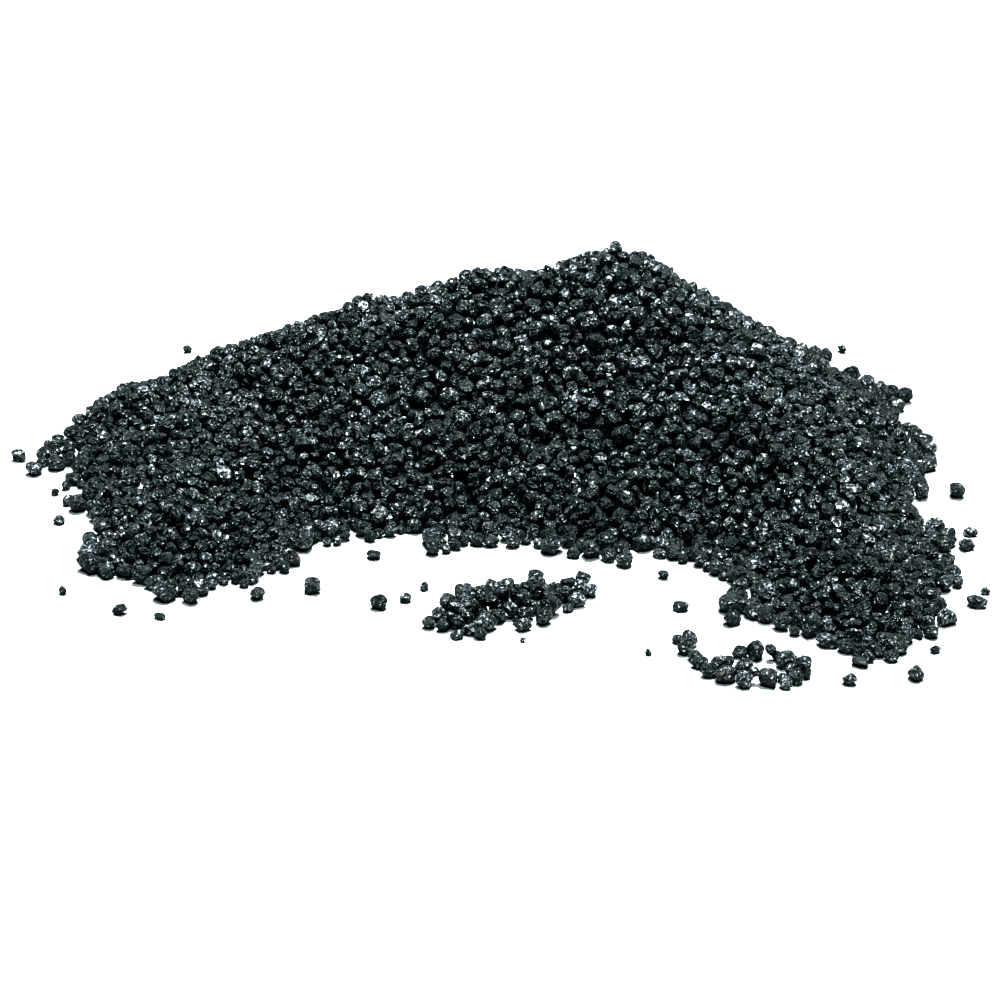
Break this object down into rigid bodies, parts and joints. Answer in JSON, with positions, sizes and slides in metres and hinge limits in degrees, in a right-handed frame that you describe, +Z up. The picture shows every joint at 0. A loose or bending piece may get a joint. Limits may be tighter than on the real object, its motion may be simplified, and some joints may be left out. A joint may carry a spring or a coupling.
{
  "type": "aquarium gravel heap",
  "caption": "Loose heap of black aquarium gravel with a ragged toe, two thin spills in front and stray grains; rests on its flat underside.",
  "frame": {"origin": "centre of the whole object's box, on the flat surface that it rests on", "axes": "+Z up; +X along the heap's longest side, to the right as seen from the front; -Y towards the front, where the bay and the two spills are"},
  "size_m": [0.2326, 0.2238, 0.0494],
  "materials": {
    "heap_stone": "satin",
    "spill_stone": "satin",
    "stray_stone": "satin"
  },
  "bodies": {
    "root": {"heap": "heap_stone", "front_spill": "spill_stone", "right_spill": "spill_stone", "stray_grain_01": "stray_stone", "stray_grain_02": "stray_stone", "stray_grain_03": "stray_stone", "stray_grain_04": "stray_stone", "stray_grain_05": "stray_stone", "stray_grain_06": "stray_stone", "stray_grain_07": "stray_stone", "stray_grain_08": "stray_stone", "stray_grain_09": "stray_stone", "stray_grain_10": "stray_stone", "stray_grain_11": "stray_stone", "stray_grain_12": "stray_stone", "stray_grain_13": "stray_stone", "stray_grain_14": "stray_stone", "stray_grain_15": "stray_stone", "stray_grain_16": "stray_stone", "stray_grain_17": "stray_stone", "stray_grain_18": "stray_stone", "stray_grain_19": "stray_stone", "stray_grain_20": "stray_stone", "stray_grain_21": "stray_stone", "stray_grain_22": "stray_stone", "stray_grain_23": "stray_stone", "stray_grain_24": "stray_stone", "stray_grain_25": "stray_stone", "stray_grain_26": "stray_stone", "stray_grain_27": "stray_stone", "stray_grain_28": "stray_stone", "stray_grain_29": "stray_stone", "stray_grain_30": "stray_stone", "stray_grain_31": "stray_stone", "stray_grain_32": "stray_stone", "stray_grain_33": "stray_stone"}
  },
  "joints": []
}
